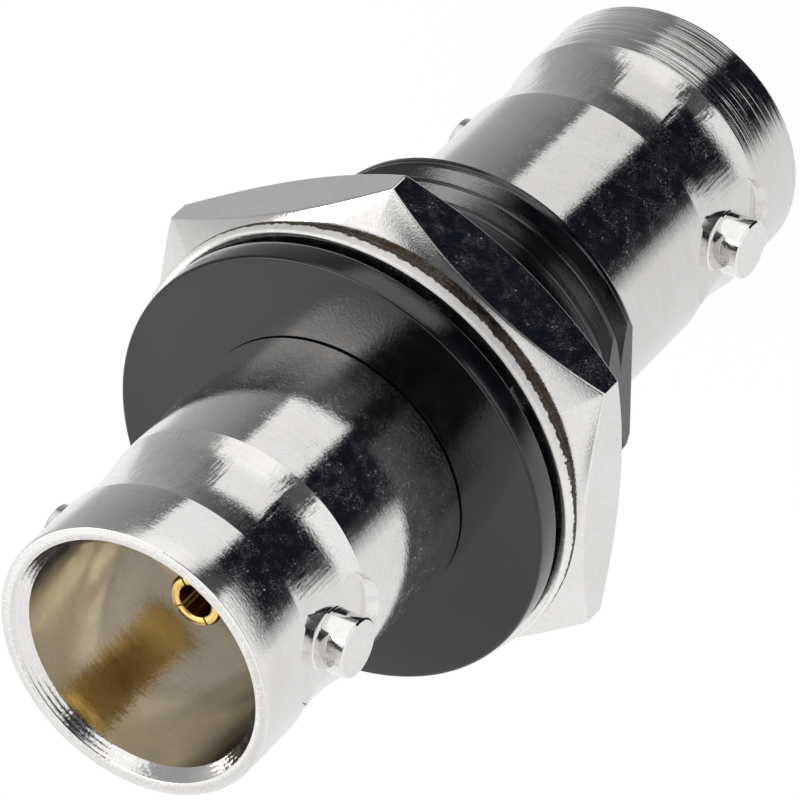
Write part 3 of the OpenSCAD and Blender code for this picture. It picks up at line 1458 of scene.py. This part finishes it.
@dataclass
class InsulatingBushing:
    """Moulded flange and threaded D-sleeve that insulate the jacks from a panel."""

    places: Places
    flange_thickness: float = 1.0
    flange_bevel: float = 0.12
    bore_radius: float = 4.2
    crest_radius: float = 6.19
    root_radius: float = 5.71
    pitch: float = 0.907
    end_land: float = 0.35
    end_bevel_rounding: float = 0.03
    end_rounding: float = 0.04
    end_inset: float = 0.01
    end_cone_share: float = 2.1
    relief: float = 0.95
    flat_height: float = 5.7
    core_inset: float = 0.004
    core_start: float = 1.0
    core_steps: int = 120
    bore_steps: int = 128
    overlap: float = 0.2
    cut_past: float = 1.0
    flat_cutter_margin: float = 2.0

    def flange(self) -> bpy.types.Object:
        """Solid disc of the flange with softened bevels.

        Returns:
            The flange.
        """
        top, radius = self.places.flange_top, self.places.flange_radius
        bottom = top - self.flange_thickness
        bevel = self.flange_bevel
        shape = Outline(arc_steps=5)
        shape.corner(0.0, bottom).corner(radius, bottom, bevel)
        shape.corner(radius, top, bevel).corner(0.0, top)
        return revolve("bushing_and_sleeve", shape, FINE_TURN)

    def end_ring(self) -> bpy.types.Object:
        """Plain land at the end of the sleeve, where the thread starts.

        Returns:
            The solid ring.
        """
        low, land, crest = self.places.sleeve_end, self.end_land, self.crest_radius
        inner_end = low + self.end_cone_share * land
        shape = Outline(arc_steps=3)
        shape.corner(0.0, low).corner(crest - land / 3.0, low, self.end_bevel_rounding)
        shape.corner(crest, low + land / 2.0, self.end_rounding)
        shape.corner(crest, low + land, self.end_rounding)
        shape.corner(self.root_radius - self.end_inset, inner_end).corner(0.0, inner_end)
        return revolve("end_ring", shape, MIDDLE_TURN)

    def build(self, material: bpy.types.Material,
              rougher: bpy.types.Material) -> bpy.types.Object:
        """Join flange, sleeve and thread, cut the bore and the flat, hand it over.

        Args:
            material: the flange's finish.
            rougher: the sleeve's finish.

        Returns:
            The finished bushing.
        """
        low, top = self.places.sleeve_end, self.places.flange_top
        seat = top - self.flange_thickness
        sleeve = self.flange()
        thread = ThreadForm(self.root_radius, self.crest_radius, self.pitch,
                            low + self.overlap, seat - self.relief)
        combine(sleeve, thread.rod("sleeve_thread", material), Cut.JOIN)
        core = rod_outline(self.root_radius - self.core_inset, low + self.core_start,
                           seat + self.overlap)
        combine(sleeve, revolve("sleeve_core", core, self.core_steps), Cut.JOIN)
        combine(sleeve, self.end_ring(), Cut.JOIN)
        bore = rod_outline(self.bore_radius, low - self.cut_past, top + self.cut_past)
        combine(sleeve, revolve("sleeve_bore", bore, self.bore_steps), Cut.AWAY)
        wide = self.flat_height + self.flat_cutter_margin
        block = box_object("flat_cutter", Vector((-wide, -wide, low - self.cut_past)),
                           Vector((-self.flat_height, wide, seat)))
        combine(sleeve, block, Cut.AWAY)
        dress(smooth(sleeve), material)
        sleeve.data.materials.append(rougher)
        for face in sleeve.data.polygons:
            face.material_index = int(face.center.z < (top - self.flange_bevel) * MM)
        hand_over(sleeve, Body.CONNECTOR, Slot.BLACK, "insulating_bushing")
        return sleeve


@dataclass
class LockWasher:
    """Spring ring with twisted inner teeth between flange and nut."""

    places: Places
    thickness: float = 0.6
    ring_inner: float = 6.95
    tooth_inner: float = 6.5
    tooth_outer: float = 7.1
    tooth_width: float = 2.2
    teeth: int = 12
    twist: float = 14.0
    rolled_edge: float = 0.07
    roll_rounding: float = 0.08
    face_rounding: float = 0.05
    inner_rounding: float = 0.04
    burr_inset: float = 0.02
    burr_height: float = 0.1
    tooth_softness: float = 0.06

    def ring(self) -> bpy.types.Object:
        """Flat ring with the rolled edge that the stamping leaves.

        Returns:
            The ring.
        """
        middle, half = self.places.washer_middle, self.thickness / 2.0
        low, high = middle - half, middle + half
        radius = self.places.washer_radius
        shape = Outline(arc_steps=5)
        shape.corner(self.ring_inner, low, self.inner_rounding)
        shape.corner(radius - self.burr_inset, low, self.inner_rounding)
        shape.corner(radius, low + self.burr_height, self.burr_height)
        shape.corner(radius, high - self.rolled_edge, self.roll_rounding)
        shape.corner(radius - self.rolled_edge, high, self.face_rounding)
        shape.corner(self.ring_inner, high, self.inner_rounding)
        return revolve("washer_ring", shape, FINE_TURN)

    def tooth_rule(self, material: bpy.types.Material) -> RuleTree:
        """Tree that sets the twisted teeth round the ring.

        Args:
            material: the washer's finish.

        Returns:
            The tree, ready to run.
        """
        rule = RuleTree("washer_teeth")
        graph = rule.graph
        count = rule.input("Teeth", "NodeSocketInt", self.teeth)
        width = rule.input("Tooth Width", "NodeSocketFloat", self.tooth_width * MM)
        inner = rule.input("Inner Radius", "NodeSocketFloat", self.tooth_inner * MM)
        outer = rule.input("Outer Radius", "NodeSocketFloat", self.tooth_outer * MM)
        sheet = rule.input("Sheet", "NodeSocketFloat", self.thickness * MM)
        twist = rule.input("Twist", "NodeSocketFloat", math.radians(self.twist))
        height = rule.input("Height", "NodeSocketFloat", self.places.washer_middle * MM)
        tooth = graph.node("GeometryNodeMeshCube")
        length = graph.math("SUBTRACT", outer, inner)
        graph.feed(tooth.inputs["Size"], graph.combine(length, width, sheet))
        tilted = graph.node("GeometryNodeTransform")
        graph.feed(tilted.inputs["Geometry"], tooth.outputs["Mesh"])
        reach = graph.math("MULTIPLY", graph.math("ADD", outer, inner), 0.5)
        graph.feed(tilted.inputs["Translation"], graph.combine(reach, 0.0, height))
        graph.feed(tilted.inputs["Rotation"], graph.combine(twist, 0.0, 0.0))
        points = graph.node("GeometryNodePoints")
        graph.feed(points.inputs["Count"], count)
        spread = graph.node("GeometryNodeInstanceOnPoints")
        graph.feed(spread.inputs["Points"], points.outputs[0])
        graph.feed(spread.inputs["Instance"], tilted.outputs[0])
        share = graph.math("DIVIDE", graph.node("GeometryNodeInputIndex").outputs[0], count)
        turn = graph.math("MULTIPLY", share, 2.0 * math.pi)
        graph.feed(spread.inputs["Rotation"], graph.combine(0.0, 0.0, turn))
        rule.finish(spread.outputs[0], material)
        return rule

    def build(self, material: bpy.types.Material) -> bpy.types.Object:
        """Join ring and teeth and hand the washer over.

        Args:
            material: the washer's finish.

        Returns:
            The finished washer.
        """
        washer = self.ring()
        teeth = self.tooth_rule(material).run("teeth")
        soften(teeth, self.tooth_softness, 40.0, 2)
        combine(washer, teeth, Cut.JOIN)
        dress(smooth(washer), material)
        washer.name = "toothed_lock_washer"
        hand_over(washer, Body.WASHER, Slot.NICKEL, "lock_washer")
        return washer


@dataclass
class HexNut:
    """Panel nut with bearing-face chamfers and a tapped bore."""

    places: Places
    across_flats: float = 15.88
    face_radius: float = 7.5
    turn: float = 27.4
    chamfer_angle: float = 30.0
    minor_radius: float = 6.23
    major_radius: float = 6.62
    pitch: float = 0.907
    edge_softness: float = 0.1
    softened_above: float = 22.0
    turning_margin: float = 0.5
    tap_past: float = 0.6
    tap_steps: int = 128
    sink_depth: float = 0.45
    sink_past: float = 0.3

    def blank(self) -> bpy.types.Object:
        """Six-sided blank with both faces chamfered.

        Returns:
            The blank, with softened edges.
        """
        low, high = self.places.nut_low, self.places.nut_high
        corner = self.across_flats / 2.0 / math.cos(math.pi / 6.0)
        mesh = bmesh.new()
        rings = []
        for height in (low, high):
            angles = [math.radians(self.turn + 60.0 * step) for step in range(6)]
            rings.append([mesh.verts.new((corner * math.cos(a) * MM, corner * math.sin(a) * MM,
                                          height * MM)) for a in angles])
        mesh.faces.new(rings[0])
        mesh.faces.new(rings[1])
        for step in range(6):
            after = (step + 1) % 6
            mesh.faces.new((rings[0][step], rings[0][after], rings[1][after], rings[1][step]))
        blank = close_up("panel_nut", mesh)
        outer = corner + self.turning_margin
        rise = (outer - self.face_radius) * math.tan(math.radians(self.chamfer_angle))
        shape = Outline(arc_steps=3)
        shape.corner(0.0, low).corner(self.face_radius, low)
        shape.corner(outer, low + rise).corner(outer, high - rise)
        shape.corner(self.face_radius, high).corner(0.0, high)
        combine(blank, revolve("nut_turning", shape, FINE_TURN), Cut.KEEP)
        return soften(blank, self.edge_softness, self.softened_above)

    def build(self, material: bpy.types.Material) -> bpy.types.Object:
        """Tap and countersink the blank and hand it over.

        Args:
            material: the nut's finish.

        Returns:
            The finished nut.
        """
        nut = self.blank()
        low, high = self.places.nut_low, self.places.nut_high
        thread = ThreadForm(self.minor_radius, self.major_radius, self.pitch,
                            low - self.tap_past, high + self.tap_past,
                            steps_per_turn=self.tap_steps)
        combine(nut, thread.rod("nut_tap", material), Cut.AWAY)
        depth, past = self.sink_depth, self.sink_past
        outer, inner = self.major_radius + depth, self.minor_radius - past
        sink = Outline()
        sink.corner(0.0, low - past).corner(outer, low - past).corner(inner, low + depth)
        sink.corner(inner, high - depth).corner(outer, high + past).corner(0.0, high + past)
        combine(nut, revolve("nut_sink", sink, MIDDLE_TURN), Cut.AWAY)
        dress(smooth(nut), material)
        hand_over(nut, Body.NUT, Slot.NICKEL, "hex_nut")
        return nut


@dataclass
class CentreContact:
    """One-piece double socket contact with four slots at each end."""

    radius: float = 0.93
    core_radius: float = 1.3
    socket_radius: float = 0.57
    socket_depth: float = 5.0
    slot_width: float = 0.07
    slot_length: float = 4.5
    slot_turn: float = 57.5
    cutter_past: float = 0.5
    cutter_reach: float = 1.5
    tip: float = 0.14
    tip_bevel_share: float = 0.6
    drill_cone: float = 0.25
    mouth_rounding: float = 0.07
    tip_rounding: float = 0.05
    shoulder_rounding: float = 0.08

    def outline(self, low: float, high: float, collar: float) -> Outline:
        """Outline of the contact, with a socket bored in each end.

        Args:
            low: height of the lower tip.
            high: height of the upper tip.
            collar: distance from a tip to the thicker middle.

        Returns:
            The closed outline.
        """
        half = ((0.0, self.socket_depth + self.drill_cone, 0.0),
                (self.socket_radius, self.socket_depth, 0.0),
                (self.socket_radius, 0.0, self.mouth_rounding),
                (self.radius - self.tip * self.tip_bevel_share, 0.0, self.tip_rounding),
                (self.radius, self.tip, self.shoulder_rounding),
                (self.radius, collar, 0.0),
                (self.core_radius, collar, self.tip_rounding))
        shape = Outline()
        for radius, depth, rounding in half:
            shape.corner(radius, low + depth, rounding)
        for radius, depth, rounding in reversed(half):
            shape.corner(radius, high - depth, rounding)
        return shape

    def build(self, material: bpy.types.Material) -> bpy.types.Object:
        """Turn, slot and hand over the contact.

        Args:
            material: the plating's finish.

        Returns:
            The finished contact.
        """
        box_low, box_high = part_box("centre_contact")
        low, high = box_low.z / MM, box_high.z / MM
        collar = (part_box("rear_insulator")[1].z - box_low.z) / MM
        contact = revolve("slotted_contact", self.outline(low, high, collar), SMALL_TURN)
        half, reach = self.slot_width / 2.0, self.cutter_reach
        for tip, deep in ((low - self.cutter_past, low + self.slot_length),
                          (high - self.slot_length, high + self.cutter_past)):
            for turn in (0.0, 90.0):
                mirrored = self.slot_turn if tip < low else -self.slot_turn
                block = box_object("slot_cutter", Vector((-reach, -half, tip)),
                                   Vector((reach, half, deep)))
                combine(contact, turned_by(block, mirrored + turn), Cut.AWAY)
        dress(smooth(contact), material)
        hand_over(contact, Body.CONNECTOR, Slot.GOLD, "centre_contact")
        return contact


@dataclass
class InsulatorRing:
    """White ring that centres the contact in the shell."""

    end: End
    chamfer: float = 0.15
    edge_rounding: float = 0.05

    def build(self, material: bpy.types.Material) -> bpy.types.Object:
        """Build the ring and hand it over.

        Args:
            material: the insulator's finish.

        Returns:
            The finished ring.
        """
        node = f"{self.end.value}_insulator"
        low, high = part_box(node)
        contact = CentreContact()
        outer = high.y / MM
        shape = Outline(arc_steps=3)
        shape.corner(contact.radius, low.z / MM, self.chamfer)
        shape.corner(outer, low.z / MM, self.edge_rounding)
        shape.corner(outer, high.z / MM, self.edge_rounding)
        shape.corner(contact.radius, high.z / MM, self.chamfer)
        ring = revolve(f"{node}_ring", shape, SMALL_TURN)
        dress(smooth(ring), material)
        hand_over(ring, Body.CONNECTOR, Slot.WHITE, node)
        return ring


# --------------------------------------------------------------------------
# Studio
# --------------------------------------------------------------------------


@dataclass(frozen=True)
class Tier:
    """One level of the surroundings, as brightness round the compass.

    It takes over from the tier below it between two heights, and the lowest
    one holds from straight down.  Heights and bearings are degrees, and
    bearings count from the camera's side.
    """

    start: float
    end: float
    stops: tuple[tuple[float, float], ...]
    warm_above: float = 1.5
    warmth: float = 0.03

    def brightness(self, graph: Graph, share: bpy.types.NodeSocket) -> bpy.types.NodeSocket:
        """Add the tier's brightness to the world.

        Args:
            graph: graph of the world.
            share: place round the compass between 0 and 1.

        Returns:
            The brightness socket.
        """
        ramp = graph.node("ShaderNodeValToRGB")
        graph.feed(ramp.inputs[0], share)
        elements = ramp.color_ramp.elements
        elements[0].position, elements[1].position = 0.0, 1.0
        for bearing, _ in self.stops[1:-1]:
            elements.new((bearing + 180.0) / 360.0)
        for element, (bearing, level) in zip(elements, self.stops):
            warmth = self.warmth if level > self.warm_above else 0.0
            element.position = (bearing + 180.0) / 360.0
            element.color = (level, level * (1.0 - warmth), level * (1.0 - 2.5 * warmth), 1.0)
        return ramp.outputs[0]


TIERS = (
    Tier(-90.0, -90.0, (
        (-180, 0.9), (-66, 0.88), (-54, 0.1), (-44, 0.007), (6, 0.006), (22, 0.05),
        (60, 0.14), (100, 0.38), (128, 0.5), (146, 0.9), (180, 0.9))),
    Tier(-52.0, -48.0, (
        (-180, 0.9), (-66, 0.9), (-55, 0.42), (-49, 0.05), (-38, 0.007), (9, 0.005),
        (13, 0.95), (58, 1.0), (62, 0.17), (85, 0.3), (125, 0.48), (133, 0.6),
        (140, 0.9), (150, 1.0), (180, 0.95))),
    Tier(-36.0, -31.0, (
        (-180, 1.0), (-60, 1.02), (-12, 1.05), (-6, 0.1), (12, 0.08), (18, 0.95),
        (30, 1.2), (62, 1.15), (74, 0.35), (100, 0.38), (128, 0.6), (150, 1.0),
        (180, 1.0))),
    Tier(37.0, 40.0, (
        (-180, 1.0), (-178.4, 0.85), (-97, 0.9), (-91, 0.36), (-66, 0.34), (-52, 0.008),
        (37, 0.006), (44, 1.0), (52, 4.4), (108, 4.3), (117, 1.9), (150, 1.35),
        (178.4, 1.2), (180, 1.05))),
    Tier(46.0, 49.0, (
        (-180, 1.1), (-70, 1.0), (-50, 0.008), (38, 0.006), (50, 1.2), (180, 1.2))),
    Tier(55.0, 67.0, (
        (-180, 1.3), (-90, 0.95), (-60, 0.88), (-14, 0.9), (8, 0.12), (66, 0.06),
        (78, 1.0), (95, 1.35), (180, 1.3))),
)


@dataclass
class Studio:
    """Camera, floor and the soft surroundings that light the metal and that it mirrors."""

    azimuth: float = -34.3166
    elevation: float = 43.388
    roll: float = 134.627
    distance: float = 0.300
    target: tuple[float, float, float] = (-3.097, -4.508, 22.182)
    lens: float = 438.0
    floor_size: float = 4.0
    floor_white: float = 0.92
    floor_glow: float = 1.03
    glow_share: float = 0.9
    mirror_lift: Colour = (0.001, 0.002, 0.007)
    fill_white: float = 0.95

    def directions(self) -> tuple[Vector, Vector, Vector]:
        """Camera axes in the frame.

        Returns:
            The directions to its right, upwards and backwards.
        """
        azimuth, elevation = math.radians(self.azimuth), math.radians(self.elevation)
        back = Vector((math.sin(azimuth) * math.cos(elevation),
                       -math.cos(azimuth) * math.cos(elevation), math.sin(elevation)))
        right = Vector((math.cos(azimuth), math.sin(azimuth), 0.0))
        turn = Matrix.Rotation(math.radians(-self.roll), 3, back)
        right = turn @ right
        return right, back.cross(right), back

    def camera(self) -> None:
        """Place the camera and make it the scene's own."""
        data = bpy.data.cameras.new("camera")
        data.lens = self.lens
        data.clip_start, data.clip_end = 0.01, 50.0
        right, up, back = self.directions()
        camera = bpy.data.objects.new("camera", data)
        bpy.context.scene.collection.objects.link(camera)
        turn = Matrix((right, up, back)).transposed().to_4x4()
        place = Vector(self.target) * MM + back * self.distance
        camera.matrix_world = Matrix.Translation(place) @ turn
        bpy.context.scene.camera = camera

    def floor(self) -> None:
        """Lay the plain pale floor that keeps the object's shadow."""
        mesh = bmesh.new()
        half = self.floor_size / 2.0
        corners = [mesh.verts.new((x * half, y * half, 0.0))
                   for x, y in ((-1, -1), (1, -1), (1, 1), (-1, 1))]
        mesh.faces.new(corners)
        floor = close_up("floor", mesh)
        material = bpy.data.materials.new("pale_floor")
        material.use_nodes = True
        graph = Graph(material.node_tree)
        diffuse = graph.node("ShaderNodeBsdfDiffuse")
        diffuse.inputs["Color"].default_value = (*[self.floor_white] * 3, 1.0)
        glow = graph.node("ShaderNodeEmission")
        mix = graph.node("ShaderNodeMixShader")
        rays = graph.node("ShaderNodeLightPath")
        graph.feed(mix.inputs[0], graph.math(
            "MULTIPLY", rays.outputs["Is Camera Ray"], self.glow_share))
        glow.inputs["Strength"].default_value = self.floor_glow
        graph.feed(mix.inputs[1], diffuse.outputs[0])
        graph.feed(mix.inputs[2], glow.outputs[0])
        output = graph.node("ShaderNodeOutputMaterial")
        graph.feed(output.inputs["Surface"], mix.outputs[0])
        dress(floor, material)
        floor.visible_glossy = False

    def surroundings(self) -> None:
        """Build the world: white to the eye, and a soft studio to the metal.

        On the camera's side the studio is dark at most heights, with bright
        panels beside it; the rest of the way round it is white or pale grey.
        """
        world = bpy.data.worlds.new("studio")
        bpy.context.scene.world = world
        world.use_nodes = True
        graph = Graph(world.node_tree)
        way = graph.node("ShaderNodeTexCoord").outputs["Generated"]
        turned = graph.node("ShaderNodeVectorRotate", rotation_type="Z_AXIS")
        graph.feed(turned.inputs["Vector"], way)
        turned.inputs["Angle"].default_value = math.radians(90.0 - self.azimuth)
        parts = graph.node("ShaderNodeSeparateXYZ")
        graph.feed(parts.inputs[0], turned.outputs[0])
        bearing = graph.math("ARCTAN2", parts.outputs["Y"], parts.outputs["X"])
        share = graph.math("MULTIPLY_ADD", bearing, 1.0 / (2.0 * math.pi), 0.5)
        height = graph.math("MULTIPLY", graph.math("ARCSINE", parts.outputs["Z"]),
                            180.0 / math.pi)
        mirrored = TIERS[0].brightness(graph, share)
        for tier in TIERS[1:]:
            mirrored = graph.blend(graph.remap(height, tier.start, tier.end), mirrored,
                                   tier.brightness(graph, share))
        mirrored = graph.vector("ADD", mirrored, self.mirror_lift)
        rays = graph.node("ShaderNodeLightPath")
        plain = graph.blend(rays.outputs["Is Camera Ray"], (*[self.fill_white] * 3, 1.0),
                            (1.0, 1.0, 1.0, 1.0))
        seen = graph.blend(rays.outputs["Is Glossy Ray"], plain, mirrored)
        light = graph.node("ShaderNodeBackground")
        graph.feed(light.inputs["Color"], seen)
        output = graph.node("ShaderNodeOutputWorld")
        graph.feed(output.inputs["Surface"], light.outputs[0])

    def build(self) -> None:
        """Set up camera, floor and surroundings."""
        bpy.context.scene.view_settings.view_transform = "Standard"
        self.camera()
        self.floor()
        self.surroundings()


# --------------------------------------------------------------------------
# Building
# --------------------------------------------------------------------------


def main() -> None:
    """Build the studio and every piece, in order."""
    logging.basicConfig(level=logging.INFO, format="%(name)s: %(message)s")
    Studio().build()
    places = Places.from_frame()
    nickel = (0.80, 0.785, 0.765)
    # Painted shade: the rear jack gets a darker copy of the front's nickel.
    shaded_rear_nickel = (0.71, 0.695, 0.675)
    turned = {end: TurnedNickel(f"{end.value}_turned_nickel", colour, neck_radius=4.79,
                                coarse_below=coarse).build()
              for end, colour, coarse in ((End.FRONT, nickel, 0.0), (End.REAR, shaded_rear_nickel, 2.54))}
    # Painted light: the bore's wall gets a brighter copy of the shell's nickel, with a warmer tint.
    lining = TurnedNickel("bore_nickel", (0.95, 0.91, 0.83), roughness=0.085,
                          streaks=0.1, haze=0.08).build()
    bottom = NickelPlate("bore_floor", (0.66, 0.61, 0.52), roughness=0.4, haze=0.1).build()
    milled = MilledNickel("milled_nickel", nickel, roughness=0.05, peel=0.45,
                          haze=0.12).build()
    # Below the washer's middle the sheet is dark brown: partly its torn edge, partly painted shade
    # against the nut.
    stamped = StampedNickel("stamped_nickel", (0.94, 0.93, 0.90), roughness=0.06, peel=1.2,
                            torn_and_shaded_below=places.washer_middle - 0.06,
                            rim_radius=places.washer_radius - 0.1).build()
    smooth_pin = NickelPlate("pin_nickel", (0.82, 0.81, 0.79), roughness=0.02, peel=0.3,
                             haze=0.02).build()
    plastic = GlossPlastic("flange_plastic", (0.0035, 0.0032, 0.004), peel=1.3).build()
    threaded = GlossPlastic("sleeve_plastic", (0.003, 0.003, 0.004), roughness=0.07,
                            peel=1.0, peel_size=0.07, gloss_index=1.75).build()
    gold = GoldPlate("gold_plate", (0.97, 0.71, 0.25)).build()
    white = InsulatorWhite("white_insulator", (0.86, 0.85, 0.82)).build()
    for end in End:
        JackShell(end, places).build(turned[end], lining, bottom)
        for side in Side:
            BayonetLug(end, side).build(smooth_pin)
        InsulatorRing(end).build(white)
    InsulatingBushing(places).build(plastic, threaded)
    LockWasher(places).build(stamped)
    HexNut(places).build(milled)
    CentreContact().build(gold)


if __name__ == "__main__":
    main()
